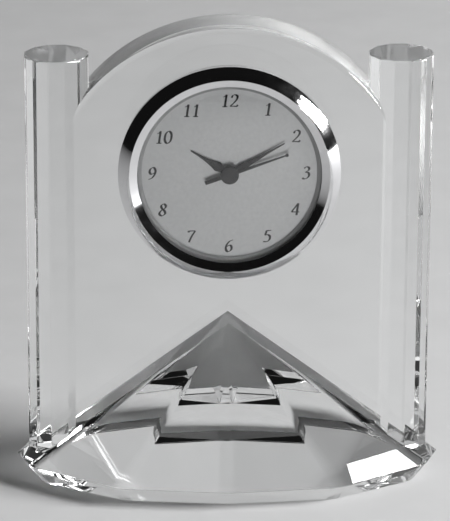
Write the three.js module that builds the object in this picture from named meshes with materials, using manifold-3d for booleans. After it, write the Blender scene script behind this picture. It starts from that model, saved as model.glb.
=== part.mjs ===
import * as THREE from 'three';
import { ConvexGeometry } from 'three/addons/geometries/ConvexGeometry.js';
import { mergeVertices } from 'three/addons/utils/BufferGeometryUtils.js';
import Module from 'manifold-3d';

// Quartz mantel clock: a fit-up clock insert pressed into a cut crystal arch.
// Millimetres, +Z up, the dial faces -Y. The origin is the middle of the base, on the surface it stands on.

// Fits
const fit = 0.3;
const shaftGap = 0.25;
const meshShake = 0.2;
const cutOver = 1;

// Crystal body
const slabThickness = 17.5;
const columnSpacing = 108;
const columnFlats = 20.2;
const columnHeight = 141.3;
const columnChamfer = 0.5;
const columnSides = 12;
const archSpring = 114.1;
const archRise = 37.4;
const dialDrop = 46.7;
const apexHeight = 54.4;
const baseWidth = 135.8;
const bowDepth = 69.3;
const frontCornerSpacing = 70.6;
const frontCornerDepth = 61.4;
const sideCornerSpacing = 126.8;
const sideCornerDepth = 24.4;
const rimTop = 6.75;
const rimHeight = 0.3;
const endUndercut = 4.6;
const bowUndercut = 6.6;

// Bezel, lens and dial; heights stand proud of the slab, depths lie behind its front face
const bezelDiameter = 70;
const bezelEdge = 1;
const bezelOverlap = 3.5;
const outerSlope = 3.5;
const innerSlope = 2.5;
const bezelCrestHeight = 4.8;
const bezelSwell = 0.7;
const openingHeight = 3.3;
const lipThickness = 0.5;
const lensThickness = 1;
const lensDome = 2.2;
const gasketThickness = 0.6;
const dialProud = 0.4;
const dialThickness = 0.4;
const ringStep = 0.5;
const ringSlope = 1;

// Case, grip band and rear cover
const caseDepth = 9.6;
const caseWall = 1;
const caseRimWall = 1.1;
const caseRimTaper = 0.6;
const bandThickness = 1.2;
const bandStart = 1.4;
const bandLength = 7.6;
const bandGroove = 0.5;
const bandRibs = 3;
const coverThickness = 1.4;
const coverLipDepth = 1.3;
const coverLipWall = 1.3;
const notchRadius = 4;
const notchDepth = 0.8;

// Movement plates
const plateDiameter = 44;
const plateRimWall = 1.4;
const motionRoom = 2.1;
const webThickness = 1;
const trainRoom = 4;
const bridgeThickness = 0.9;
const pillarDiameter = 3.2;
const pillarCircle = 38.6;
const pillarAngles = [138, 262, 325];
const screwHeadDiameter = 2.8;
const screwHeadHeight = 0.6;
const screwShankDiameter = 1.2;
const screwLength = 2.8;
const spacerShelf = 2;
const spacerWall = 1.4;

// Wheel train: tooth counts, distances between arbors, and arbor directions seen from the front
const rotorLeaves = 6;
const fifthTeeth = 36;
const fifthLeaves = 8;
const secondTeeth = 40;
const secondLeaves = 8;
const thirdTeeth = 60;
const thirdLeaves = 8;
const centreTeeth = 64;
const cannonLeaves = 10;
const minuteTeeth = 30;
const minuteLeaves = 8;
const hourTeeth = 32;
const thirdDistance = 8.4;
const fifthDistance = 8.6;
const rotorToFifth = 5.2;
const rotorDistance = 13;
const settingDistance = 9.2;
const thirdAngle = 190;
const motorAngle = 25;
const settingAngle = 270;
const trainLayers = 4;
const wheelThickness = 0.5;
const pinionOverhang = 0.15;
const wheelShake = 0.3;
const arborDiameter = 0.7;
const settingArborDiameter = 1.6;
const cannonTubeWall = 0.35;
const hourTubeWall = 0.4;

// Motor and electronics
const magnetDiameter = 4.2;
const magnetLength = 2.2;
const statorGap = 0.5;
const statorWidth = 7.2;
const statorLength = 18;
const statorArmWidth = 2;
const coreOffset = 6;
const coreWidth = 1.6;
const coreThickness = 0.8;
const windingLength = 11;
const windingBuild = 0.35;
const boardThickness = 0.8;
const boardInner = 11;
const boardOuter = 21.2;
const boardAngles = [150, 250];
const chipSize = 4;
const chipHeight = 1;
const chipAngle = 222;
const canDiameter = 2;
const canLength = 6;
const canAngle = 178;
const canRadius = 18;

// Button cell and its contacts
const cellDiameter = 11.6;
const cellHeight = 4.2;
const cellCapDiameter = 9.4;
const cellCapStep = 0.3;
const cellDistance = 14.5;
const cellAngle = 100;
const contactThickness = 0.3;
const contactWidth = 3;
const cellGap = 0.5;

// Hands
const hourLength = 14.3;
const hourShoulder = 3.3;
const minuteLength = 19.9;
const minuteShoulder = 2.3;
const secondLength = 19;
const secondTail = 8.1;
const tailWidth = 1.3;
const needleRoot = 1.2;
const needleWidth = 0.4;
const needleDot = 1.1;
const handTipWidth = 0.35;
const shoulderReach = 4.4;
const handThickness = 0.3;
const handSpacing = 0.6;
const handClearance = 0.4;
const hourHubDiameter = 5.4;
const minuteHubDiameter = 4.8;
const secondHubDiameter = 3.4;
const handCapDiameter = 5.8;
const handCapHeight = 0.6;
const handCapDome = 0.25;
const hourAngle = 302;
const minuteAngle = 59.6;
const secondAngle = 70.5;

// Setting knob
const knobDiameter = 7.4;
const knobProud = 0.8;
const knobRibs = 14;
const knobRibDepth = 0.35;
const knobHoleGap = 0.5;

// Facets round a turned piece
const roundFacets = 48;
const innerFacets = 32;
const discFacets = 16;
const smallFacets = 12;
const slopeFacets = 4;

// Levels behind the slab's front face, from the lens to the knob
const lipBack = lipThickness - openingHeight;
const lensFront = lipBack + fit;
const lensBack = lensFront + lensThickness;
const gasketFront = lensBack + fit;
const gasketBack = gasketFront + gasketThickness;
const caseFront = gasketBack + fit;
const dialFront = -dialProud;
const dialBack = dialFront + dialThickness;
const plateFront = dialBack + fit;
const webFront = plateFront + motionRoom;
const webBack = webFront + webThickness;
const bridgeFront = webBack + trainRoom;
const bridgeBack = bridgeFront + bridgeThickness;
const coverFront = caseDepth + fit;
const coverBack = coverFront + coverThickness;
const lipEdge = coverFront - coverLipDepth;

// Radii that nest from the bezel inwards
const bezelRadius = bezelDiameter / 2;
const crestRadius = bezelRadius - outerSlope;
const openingRadius = crestRadius - innerSlope;
const ringMouth = openingRadius - ringStep;
const ringThroat = ringMouth - ringSlope;
const boreRadius = bezelRadius - bezelOverlap;
const bandRadius = boreRadius - fit;
const bodyRadius = bandRadius - bandThickness - fit;
const caseInner = bodyRadius - caseWall;
const rimRadius = boreRadius - fit;
const rimInner = rimRadius - caseRimWall;
const recessRadius = rimRadius + fit;
const nestRadius = caseInner - fit;
const plateRadius = plateDiameter / 2;
const spacerInner = nestRadius - spacerWall;
const motionRadius = plateRadius - plateRimWall;
const arborRadius = arborDiameter / 2;
const settingArborRadius = settingArborDiameter / 2;
const cannonInner = arborRadius + shaftGap;
const cannonOuter = cannonInner + cannonTubeWall;
const hourInner = cannonOuter + shaftGap;
const hourOuter = hourInner + hourTubeWall;

const archCrown = archSpring + archRise;
const dialHeight = archCrown - dialDrop;
const radians = THREE.MathUtils.degToRad;

// Arbor places in the dial's plane
const polar = (distance, degrees) => ({
  x: distance * Math.cos(radians(degrees)),
  z: distance * Math.sin(radians(degrees)),
});
const fifthSwing = Math.acos(
  (fifthDistance ** 2 + rotorDistance ** 2 - rotorToFifth ** 2) / (2 * fifthDistance * rotorDistance),
);
const fifthAngle = motorAngle + THREE.MathUtils.radToDeg(fifthSwing);
const centreAt = { x: 0, z: 0 };
const thirdAt = polar(thirdDistance, thirdAngle);
const fifthAt = polar(fifthDistance, fifthAngle);
const rotorAt = polar(rotorDistance, motorAngle);
const settingAt = polar(settingDistance, settingAngle);
const cellAt = polar(cellDistance, cellAngle);
const pillarsAt = pillarAngles.map((angle) => polar(pillarCircle / 2, angle));

const wasm = await Module();
wasm.setup();

// A closed geometry as a solid: shared corners are merged and triangles without area are dropped
function solid(geometry) {
  const bare = geometry.index ? geometry.toNonIndexed() : geometry.clone();
  bare.deleteAttribute('normal');
  bare.deleteAttribute('uv');
  const merged = mergeVertices(bare, 1e-4);
  const corners = merged.index.array;
  const triangles = [];
  for (let i = 0; i < corners.length; i += 3) {
    const [a, b, c] = corners.slice(i, i + 3);
    if (a !== b && b !== c && c !== a) {
      triangles.push(a, b, c);
    }
  }
  return new wasm.Manifold(new wasm.Mesh({
    numProp: 3,
    vertProperties: Float32Array.from(merged.attributes.position.array),
    triVerts: Uint32Array.from(triangles),
  }));
}

function geometryOf(body) {
  const { vertProperties, triVerts } = body.getMesh();
  const geometry = new THREE.BufferGeometry();
  geometry.setAttribute('position', new THREE.BufferAttribute(vertProperties, 3));
  geometry.setIndex(new THREE.BufferAttribute(triVerts, 1));
  return geometry;
}

const join = (...pieces) => geometryOf(pieces.map(solid).reduce((whole, piece) => whole.add(piece)));

function cut(piece, ...tools) {
  return geometryOf(tools.map(solid).reduce((whole, tool) => whole.subtract(tool), solid(piece)));
}

// A piece turned about the dial's axis, from [radius, depth] pairs in either order
function turned(profile, facets = innerFacets) {
  const points = profile.map(([radius, depth]) => new THREE.Vector2(radius, depth));
  if (THREE.ShapeUtils.area(points) < 0) {
    points.reverse();
  }
  if (points[0].x > 0 || points.at(-1).x > 0) {
    points.push(points[0].clone());
  }
  return new THREE.LatheGeometry(points, facets);
}

const rod = (radius, front, back, facets = smallFacets) => turned(
  [[0, front], [radius, front], [radius, back], [0, back]],
  facets,
);

const tube = (outer, inner, front, back, facets = smallFacets) => turned(
  [[inner, front], [outer, front], [outer, back], [inner, back]],
  facets,
);

// A flat piece drawn as seen from the front, between two depths
function plate(shape, front, back, facets = smallFacets) {
  const geometry = new THREE.ExtrudeGeometry(shape, {
    depth: back - front,
    bevelEnabled: false,
    curveSegments: facets,
  });
  return geometry.rotateX(Math.PI / 2).translate(0, back, 0);
}

const at = (geometry, place) => geometry.translate(place.x, 0, place.z);

const outline = (points) => new THREE.Shape(points.map(([x, z]) => new THREE.Vector2(x, z)));

const rectangle = (x0, z0, x1, z1) => outline([[x0, z0], [x1, z0], [x1, z1], [x0, z1]]);

function piece(name, geometry, colour, roughness, metalness) {
  const material = new THREE.MeshStandardMaterial({ color: colour, roughness, metalness });
  const mesh = new THREE.Mesh(geometry, material);
  mesh.name = name;
  return mesh;
}

function placed(place, degreesClockwise, ...children) {
  const group = new THREE.Group();
  group.position.set(place.x, 0, place.z);
  group.rotation.y = radians(degreesClockwise);
  group.add(...children);
  return group;
}

// Crystal body: arched slab, two twelve-sided columns and a faceted base that rises to a ridge
function archOutline() {
  const halfSpan = columnSpacing / 2;
  const radius = (halfSpan ** 2 + archRise ** 2) / (2 * archRise);
  const centre = archCrown - radius;
  const springAngle = Math.atan2(archSpring - centre, halfSpan);
  const shape = new THREE.Shape();
  shape.moveTo(-halfSpan, rimTop);
  shape.lineTo(halfSpan, rimTop);
  shape.lineTo(halfSpan, archSpring);
  shape.absarc(0, centre, radius, springAngle, Math.PI - springAngle, false);
  return shape;
}

function column(side) {
  const corner = columnFlats / 2 / Math.cos(Math.PI / columnSides);
  const profile = [
    [0, rimTop],
    [corner, rimTop],
    [corner, columnHeight - columnChamfer],
    [corner - columnChamfer, columnHeight],
    [0, columnHeight],
  ].map(([radius, height]) => new THREE.Vector2(radius, height));
  const shaft = new THREE.LatheGeometry(profile, columnSides, Math.PI / columnSides);
  return shaft.rotateX(Math.PI / 2).translate(side * columnSpacing / 2, 0, 0);
}

function baseOutline(height, endInset = 0, bowInset = 0) {
  const quarter = [
    [0, bowDepth / 2],
    [frontCornerSpacing / 2, frontCornerDepth / 2],
    [sideCornerSpacing / 2, sideCornerDepth / 2],
    [baseWidth / 2, 0],
  ];
  const shrinkX = 1 - endInset / (baseWidth / 2);
  const shrinkY = 1 - bowInset / (bowDepth / 2);
  return quarter.flatMap(([x, y]) => [[x, y], [-x, y], [x, -y], [-x, -y]])
    .map(([x, y]) => new THREE.Vector3(x * shrinkX, y * shrinkY, height));
}

function facetedBase() {
  const ridge = [-1, 1].map((side) => new THREE.Vector3(0, side * slabThickness / 2, apexHeight));
  return new ConvexGeometry([
    ...ridge,
    ...baseOutline(rimTop),
    ...baseOutline(rimTop - rimHeight),
    ...baseOutline(0, endUndercut, bowUndercut),
  ]);
}

function crystalBody() {
  const slab = plate(archOutline(), -slabThickness / 2, slabThickness / 2, innerFacets);
  const bore = rod(boreRadius, -slabThickness, slabThickness, roundFacets).translate(0, 0, dialHeight);
  return cut(join(slab, column(-1), column(1), facetedBase()), bore);
}

// Bezel: an outer slope that swells to the crest and an inner slope down to the opening
function bezelProfile() {
  const edge = new THREE.Vector2(bezelRadius, -fit - bezelEdge);
  const crest = new THREE.Vector2(crestRadius, -bezelCrestHeight);
  const away = new THREE.Vector2(crest.y - edge.y, edge.x - crest.x).normalize();
  const swell = edge.clone().add(crest).divideScalar(2).addScaledVector(away, -bezelSwell);
  const slope = new THREE.QuadraticBezierCurve(edge, swell, crest).getPoints(slopeFacets);
  return [
    [bezelRadius, -fit],
    ...slope.map((point) => [point.x, point.y]),
    [openingRadius, -openingHeight],
    [openingRadius, lipBack],
    [recessRadius, lipBack],
    [recessRadius, -fit],
  ];
}

// Lens: a shallow dome with a flat rim that the bezel's lip holds
function lensProfile() {
  const arc = (edge) => Array.from({ length: slopeFacets + 1 }, (_, step) => {
    const share = step / slopeFacets;
    return [share * ringMouth, edge - lensDome * (1 - share ** 2)];
  });
  return [...arc(lensFront), [rimRadius, lensFront], [rimRadius, lensBack], ...arc(lensBack).reverse()];
}

const dialRingProfile = () => [
  [ringMouth, gasketFront],
  [rimInner - fit, gasketFront],
  [rimInner - fit, dialFront - fit],
  [ringThroat, dialFront - fit],
];

// Case: the dial lies on the ledge inside its front rim
const caseProfile = () => [
  [rimInner, caseFront],
  [rimRadius, caseFront],
  [rimRadius, plateFront],
  [bodyRadius, plateFront + caseRimTaper],
  [bodyRadius, caseDepth],
  [caseInner, caseDepth],
  [caseInner, plateFront],
  [rimInner, plateFront],
];

// Grip band: a soft sleeve with rings that press on the bore
function bandProfile() {
  const pitch = bandLength / (2 * bandRibs - 1);
  const outer = [];
  for (let rib = 0; rib < bandRibs; rib += 1) {
    const front = bandStart + 2 * rib * pitch;
    outer.push([bandRadius, front], [bandRadius, front + pitch]);
    if (rib < bandRibs - 1) {
      outer.push([bandRadius - bandGroove, front + pitch], [bandRadius - bandGroove, front + 2 * pitch]);
    }
  }
  return [...outer, [bodyRadius + fit, bandStart + bandLength], [bodyRadius + fit, bandStart]];
}

// Rear cover: a disc with a snap lip, a hole for the knob and a thumbnail notch in its edge
function rearCover() {
  const disc = turned([
    [0, coverFront],
    [nestRadius - coverLipWall, coverFront],
    [nestRadius - coverLipWall, lipEdge],
    [nestRadius, lipEdge],
    [nestRadius, coverFront],
    [bodyRadius, coverFront],
    [bodyRadius, coverBack],
    [0, coverBack],
  ]);
  const holeRadius = knobDiameter / 2 + knobHoleGap;
  const knobHole = at(rod(holeRadius, coverFront - cutOver, coverBack + cutOver), settingAt);
  const notch = at(rod(notchRadius, coverBack - notchDepth, coverBack + cutOver), { x: 0, z: bodyRadius });
  return cut(disc, knobHole, notch);
}

// Movement: main plate with the motion work in front of its web and the wheel train behind it
function mainPlate() {
  const cup = turned([
    [0, webFront],
    [motionRadius, webFront],
    [motionRadius, plateFront],
    [plateRadius, plateFront],
    [plateRadius, webBack],
    [0, webBack],
  ]);
  const pillars = pillarsAt.map((place) => at(rod(pillarDiameter / 2, webFront, bridgeFront - fit), place));
  const screwEnd = bridgeBack + fit - screwLength - fit;
  const threads = pillarsAt.map((place) => (
    at(rod(screwShankDiameter / 2 + fit, screwEnd, bridgeFront), place)
  ));
  const through = (radius, place) => at(rod(radius, webFront - cutOver, webBack + cutOver), place);
  const pivots = [thirdAt, fifthAt, rotorAt].map((place) => through(arborRadius + shaftGap, place));
  const centreHole = through(cannonOuter + shaftGap, centreAt);
  const settingHole = through(settingArborRadius + shaftGap, settingAt);
  return cut(join(cup, ...pillars), ...threads, ...pivots, centreHole, settingHole);
}

function trainBridge() {
  const shape = new THREE.Shape().absarc(0, 0, plateRadius, 0, 2 * Math.PI, false);
  const disc = plate(shape, bridgeFront, bridgeBack, discFacets);
  const through = (radius, place, facets) => (
    at(rod(radius, bridgeFront - cutOver, bridgeBack + cutOver, facets), place)
  );
  const pivots = [centreAt, thirdAt, fifthAt, rotorAt].map((place) => through(arborRadius + shaftGap, place));
  const screws = pillarsAt.map((place) => through(screwShankDiameter / 2 + fit, place));
  const setting = through(settingArborRadius + shaftGap, settingAt);
  const cellWell = through(cellDiameter / 2 + cellGap, cellAt, innerFacets);
  const cellMouth = plate(
    rectangle(-cellDiameter / 2 - cellGap, 0, cellDiameter / 2 + cellGap, plateRadius),
    bridgeFront - cutOver,
    bridgeBack + cutOver,
  );
  return cut(disc, ...pivots, ...screws, setting, cellWell, at(cellMouth, cellAt));
}

const bridgeScrew = () => turned([
  [0, bridgeBack + fit - screwLength],
  [screwShankDiameter / 2, bridgeBack + fit - screwLength],
  [screwShankDiameter / 2, bridgeBack + fit],
  [screwHeadDiameter / 2, bridgeBack + fit],
  [screwHeadDiameter / 2, bridgeBack + fit + screwHeadHeight],
  [0, bridgeBack + fit + screwHeadHeight],
], smallFacets);

const spacerProfile = () => [
  [plateRadius + fit, plateFront],
  [nestRadius, plateFront],
  [nestRadius, lipEdge - fit],
  [spacerInner, lipEdge - fit],
  [spacerInner, plateFront + spacerShelf],
  [plateRadius + fit, plateFront + spacerShelf],
];

// Wheels: straight-flanked teeth, slim enough to run free at any phase
const addendum = 0.75;
const dedendum = 1.15;
const rootHalf = 0.22;
const tipHalf = 0.08;

function gearOutline(teeth, pitchRadius, phase) {
  const module = 2 * pitchRadius / teeth;
  const tip = pitchRadius + addendum * module;
  const root = pitchRadius - dedendum * module;
  const pitch = 2 * Math.PI / teeth;
  const points = [];
  for (let tooth = 0; tooth < teeth; tooth += 1) {
    const middle = phase + tooth * pitch;
    const flank = [[root, -rootHalf], [tip, -tipHalf], [tip, tipHalf], [root, rootHalf]];
    for (const [radius, share] of flank) {
      const angle = middle + share * pitch;
      points.push([radius * Math.cos(angle), radius * Math.sin(angle)]);
    }
  }
  return outline(points);
}

// A meshing pair: each one's pitch radius, and the driven wheel's phase with the driver's at zero
function meshed(driverTeeth, drivenTeeth, driverAt, drivenAt) {
  const dx = drivenAt.x - driverAt.x;
  const dz = drivenAt.z - driverAt.z;
  const perTooth = Math.hypot(dx, dz) / (driverTeeth + drivenTeeth);
  const line = Math.atan2(dz, dx);
  const driverPitch = 2 * Math.PI / driverTeeth;
  const drivenPitch = 2 * Math.PI / drivenTeeth;
  return {
    driverRadius: driverTeeth * perTooth,
    drivenRadius: drivenTeeth * perTooth,
    drivenPhase: line + Math.PI + (0.5 + line / driverPitch) * drivenPitch,
  };
}

const rotorMesh = meshed(rotorLeaves, fifthTeeth, rotorAt, fifthAt);
const fifthMesh = meshed(fifthLeaves, secondTeeth, fifthAt, centreAt);
const secondMesh = meshed(secondLeaves, thirdTeeth, centreAt, thirdAt);
const thirdMesh = meshed(thirdLeaves, centreTeeth, thirdAt, centreAt);
const cannonMesh = meshed(cannonLeaves, minuteTeeth, centreAt, settingAt);
const minuteMesh = meshed(minuteLeaves, hourTeeth, settingAt, centreAt);

// Four wheels lie one behind the other between the web and the bridge, two wheels in front of the web
const trainPitch = (trainRoom - 2 * wheelShake - wheelThickness) / (trainLayers - 1);
const trainLevel = (layer) => webBack + wheelShake + layer * trainPitch;
const minuteLevel = webFront - wheelShake - wheelThickness;
const hourLevel = plateFront + meshShake;

const wheelAt = (teeth, radius, phase, level) => (
  plate(gearOutline(teeth, radius, phase), level, level + wheelThickness)
);

const pinionAt = (leaves, radius, level) => plate(
  gearOutline(leaves, radius, 0),
  level - pinionOverhang,
  level + wheelThickness + pinionOverhang,
);

function rotorPiece() {
  const magnetFront = webBack + fit;
  const pinion = pinionAt(rotorLeaves, rotorMesh.driverRadius, trainLevel(3));
  const magnet = rod(magnetDiameter / 2, magnetFront, magnetFront + magnetLength, discFacets);
  return join(magnet, pinion, rod(arborRadius, webFront, bridgeBack));
}

function fifthWheel() {
  const wheel = wheelAt(fifthTeeth, rotorMesh.drivenRadius, rotorMesh.drivenPhase, trainLevel(3));
  const pinion = pinionAt(fifthLeaves, fifthMesh.driverRadius, trainLevel(2));
  return join(wheel, pinion, rod(arborRadius, webFront, bridgeBack));
}

function secondWheel() {
  const wheel = wheelAt(secondTeeth, fifthMesh.drivenRadius, fifthMesh.drivenPhase, trainLevel(2));
  const pinion = pinionAt(secondLeaves, secondMesh.driverRadius, trainLevel(1));
  return join(wheel, pinion, rod(arborRadius, secondFront, bridgeBack));
}

function thirdWheel() {
  const wheel = wheelAt(thirdTeeth, secondMesh.drivenRadius, secondMesh.drivenPhase, trainLevel(1));
  const pinion = pinionAt(thirdLeaves, thirdMesh.driverRadius, trainLevel(0));
  return join(wheel, pinion, rod(arborRadius, webFront, bridgeBack));
}

function centreWheel() {
  const level = trainLevel(0);
  const wheel = wheelAt(centreTeeth, thirdMesh.drivenRadius, thirdMesh.drivenPhase, level);
  const sleeve = rod(cannonOuter, webFront, level + wheelThickness);
  return cut(join(wheel, sleeve), rod(cannonInner, webFront - cutOver, webBack + trainRoom));
}

function cannonPinion() {
  const pinion = plate(
    gearOutline(cannonLeaves, cannonMesh.driverRadius, 0),
    minuteLevel - pinionOverhang,
    webFront - fit,
  );
  const pipe = rod(cannonOuter, minuteFront - meshShake, webFront - fit);
  return cut(join(pinion, pipe), rod(cannonInner, minuteFront - cutOver, webBack));
}

function minuteWheel() {
  const wheel = wheelAt(minuteTeeth, cannonMesh.drivenRadius, cannonMesh.drivenPhase, minuteLevel);
  const pinion = plate(gearOutline(minuteLeaves, minuteMesh.driverRadius, 0), plateFront, minuteLevel);
  return join(wheel, pinion, rod(settingArborRadius, plateFront, coverBack));
}

function hourWheel() {
  const wheel = wheelAt(hourTeeth, minuteMesh.drivenRadius, minuteMesh.drivenPhase, hourLevel);
  const pipe = rod(hourOuter, hourFront - meshShake, hourLevel + wheelThickness);
  return cut(join(wheel, pipe), rod(hourInner, hourFront - cutOver, webBack));
}

// Setting knob: ribbed rim, pressed on the end of the setting arbor
function settingKnob() {
  const points = [];
  for (let step = 0; step < 2 * knobRibs; step += 1) {
    const angle = Math.PI * step / knobRibs;
    const radius = knobDiameter / 2 - (step % 2) * knobRibDepth;
    points.push([radius * Math.cos(angle), radius * Math.sin(angle)]);
  }
  const grip = plate(outline(points), bridgeBack + 2 * fit, coverBack + knobProud);
  const socket = rod(settingArborRadius + shaftGap, bridgeBack, coverBack + shaftGap);
  return cut(grip, socket);
}

// Motor: a stator bar round the rotor, with arms out to the core that carries the winding
const statorFront = webBack + fit;
const windingBore = Math.hypot(coreWidth / 2 + shaftGap, coreThickness / 2 + shaftGap);
const windingRadius = windingBore + windingBuild;
const coreMiddle = statorFront + windingRadius;
const coreFront = coreMiddle - coreThickness / 2;
const statorBack = coreFront - fit;
const coreRadius = rotorDistance + coreOffset;

function stator() {
  const inner = rotorDistance - statorWidth / 2;
  const bar = rectangle(inner, -statorLength / 2, rotorDistance + statorWidth / 2, statorLength / 2);
  const arms = [-1, 1].map((side) => rectangle(
    rotorDistance,
    side > 0 ? statorLength / 2 - statorArmWidth : -statorLength / 2,
    coreRadius + coreWidth / 2,
    side > 0 ? statorLength / 2 : statorArmWidth - statorLength / 2,
  ));
  const bars = [bar, ...arms].map((shape) => plate(shape, statorFront, statorBack));
  const pole = rod(magnetDiameter / 2 + statorGap, statorFront - cutOver, statorBack + cutOver, discFacets);
  return cut(join(...bars), at(pole, { x: rotorDistance, z: 0 }));
}

const coilCore = () => plate(
  rectangle(coreRadius - coreWidth / 2, -statorLength / 2, coreRadius + coreWidth / 2, statorLength / 2),
  coreFront,
  coreFront + coreThickness,
);

function coilWinding() {
  const drum = new THREE.CylinderGeometry(windingRadius, windingRadius, windingLength, discFacets);
  const roundCore = drum.rotateX(Math.PI / 2).translate(coreRadius, coreMiddle, 0);
  const slot = plate(
    rectangle(
      coreRadius - coreWidth / 2 - shaftGap,
      -statorLength,
      coreRadius + coreWidth / 2 + shaftGap,
      statorLength,
    ),
    coreFront - shaftGap,
    coreFront + coreThickness + shaftGap,
  );
  return cut(roundCore, slot);
}

// Circuit board: a strip round the train, with the chip and the crystal can on it
const boardFront = webBack + fit;
const boardBack = boardFront + boardThickness;

function circuitBoard() {
  const [start, end] = boardAngles.map(radians);
  const shape = new THREE.Shape();
  shape.absarc(0, 0, boardOuter, start, end, false);
  shape.absarc(0, 0, boardInner, end, start, true);
  return plate(shape, boardFront, boardBack);
}

const icChip = () => plate(
  rectangle(-chipSize / 2, -chipSize / 2, chipSize / 2, chipSize / 2),
  boardBack + fit,
  boardBack + fit + chipHeight,
);

const quartzCan = () => new THREE.CylinderGeometry(canDiameter / 2, canDiameter / 2, canLength, smallFacets)
  .rotateX(Math.PI / 2)
  .translate(0, boardBack + fit + canDiameter / 2, 0);

// Button cell: the cap with the negative pole faces the web
const cellFront = webBack + fit + contactThickness + fit;
const cellBack = cellFront + cellHeight;
const clipFront = cellBack + fit;

const buttonCell = () => turned([
  [0, cellFront],
  [cellCapDiameter / 2, cellFront],
  [cellCapDiameter / 2, cellFront + cellCapStep],
  [cellDiameter / 2, cellFront + 2 * cellCapStep],
  [cellDiameter / 2, cellBack],
  [0, cellBack],
], discFacets);

const cellSpring = () => plate(
  rectangle(-contactWidth / 2, -cellDiameter / 2, contactWidth / 2, cellDiameter / 4),
  webBack + fit,
  webBack + fit + contactThickness,
);

function cellClip() {
  const reach = cellDiameter / 2 + cellGap + contactWidth;
  const strip = plate(
    rectangle(-contactWidth / 2, -reach, contactWidth / 2, cellDiameter / 4),
    clipFront,
    clipFront + contactThickness,
  );
  const foot = plate(
    rectangle(-contactWidth / 2, -reach, contactWidth / 2, contactWidth / 2 - reach),
    bridgeBack + fit,
    clipFront + contactThickness,
  );
  return join(strip, foot);
}

// Hands: a hub on the arbor and a blade that draws in from its shoulders to the tip
const hourFront = dialFront - handClearance - handThickness;
const minuteFront = hourFront - handSpacing;
const secondFront = minuteFront - handSpacing;

function bladeOutline(length, shoulder) {
  const half = shoulder / 2;
  const tip = handTipWidth / 2;
  const drawIn = shoulderReach + (length - shoulderReach) / 3;
  const shape = new THREE.Shape();
  shape.moveTo(-half / 2, 0);
  shape.lineTo(half / 2, 0);
  shape.lineTo(half, shoulderReach);
  shape.quadraticCurveTo(tip * 2, drawIn, tip, length);
  shape.lineTo(-tip, length);
  shape.quadraticCurveTo(-tip * 2, drawIn, -half, shoulderReach);
  return shape;
}

function handPiece(blades, hubDiameter, holeRadius, front) {
  const hub = rod(hubDiameter / 2, front, front + handThickness, discFacets);
  return cut(join(hub, ...blades), rod(holeRadius, front - cutOver, front + handThickness + cutOver));
}

const blade = (length, shoulder, front) => (
  plate(bladeOutline(length, shoulder), front, front + handThickness, slopeFacets)
);

function secondHand() {
  const back = secondFront + handThickness;
  const taper = outline([
    [-needleRoot / 2, 0],
    [needleRoot / 2, 0],
    [needleWidth / 2, secondLength],
    [-needleWidth / 2, secondLength],
  ]);
  const needle = plate(taper, secondFront, back);
  const tail = plate(rectangle(-tailWidth / 2, -secondTail, tailWidth / 2, 0), secondFront, back);
  const dot = at(rod(needleDot / 2, secondFront, back), { x: 0, z: secondLength });
  return handPiece([needle, tail, dot], secondHubDiameter, arborRadius + shaftGap, secondFront);
}

const handCap = () => turned([
  [0, secondFront - fit - handCapHeight],
  [handCapDiameter / 2 - handCapDome, secondFront - fit - handCapHeight],
  [handCapDiameter / 2, secondFront - fit - handCapHeight + handCapDome],
  [handCapDiameter / 2, secondFront - fit],
  [0, secondFront - fit],
], discFacets);

// The clock
const clock = new THREE.Group();
const insert = new THREE.Group();
insert.position.set(0, -slabThickness / 2, dialHeight);
clock.add(piece('crystal_body', crystalBody(), 0xe9eeee, 0.02, 0), insert);

insert.add(
  piece('bezel', turned(bezelProfile(), roundFacets), 0xd9dadb, 0.08, 1),
  piece('lens', turned(lensProfile()), 0xf1f4f4, 0.02, 0),
  piece('lens_gasket', tube(rimRadius, rimInner, gasketFront, gasketBack, roundFacets), 0x2a2a2c, 0.8, 0),
  piece('dial_ring', turned(dialRingProfile(), roundFacets), 0xb9babb, 0.3, 1),
  piece('dial', tube(rimInner - fit, hourOuter + fit, dialFront, dialBack, roundFacets), 0xbfc0c0, 0.5, 0.3),
  piece('case', turned(caseProfile(), roundFacets), 0xc4c5c7, 0.3, 1),
  piece('grip_band', turned(bandProfile()), 0xc2c4c4, 0.6, 0),
  piece('rear_cover', rearCover(), 0x1f2022, 0.45, 0),
  piece('dial_spacer', turned(spacerProfile()), 0xe4e3de, 0.6, 0),
  piece('main_plate', mainPlate(), 0xd9d8d2, 0.6, 0),
  piece('train_bridge', trainBridge(), 0x2b2c2f, 0.55, 0),
);

pillarsAt.forEach((place, index) => {
  insert.add(placed(place, 0, piece(`bridge_screw_${index + 1}`, bridgeScrew(), 0xb8babd, 0.3, 1)));
});

insert.add(
  placed(rotorAt, 0, piece('rotor', rotorPiece(), 0x4a4a4d, 0.5, 0)),
  placed(fifthAt, 0, piece('fifth_wheel', fifthWheel(), 0xe7e5dd, 0.5, 0)),
  piece('second_wheel', secondWheel(), 0xe7e5dd, 0.5, 0),
  placed(thirdAt, 0, piece('third_wheel', thirdWheel(), 0xe7e5dd, 0.5, 0)),
  piece('centre_wheel', centreWheel(), 0xe7e5dd, 0.5, 0),
  piece('cannon_pinion', cannonPinion(), 0xc9a24c, 0.35, 1),
  piece('hour_wheel', hourWheel(), 0xe7e5dd, 0.5, 0),
  placed(
    settingAt,
    0,
    piece('minute_wheel', minuteWheel(), 0xe7e5dd, 0.5, 0),
    piece('setting_knob', settingKnob(), 0x1f2022, 0.45, 0),
  ),
);

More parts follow.
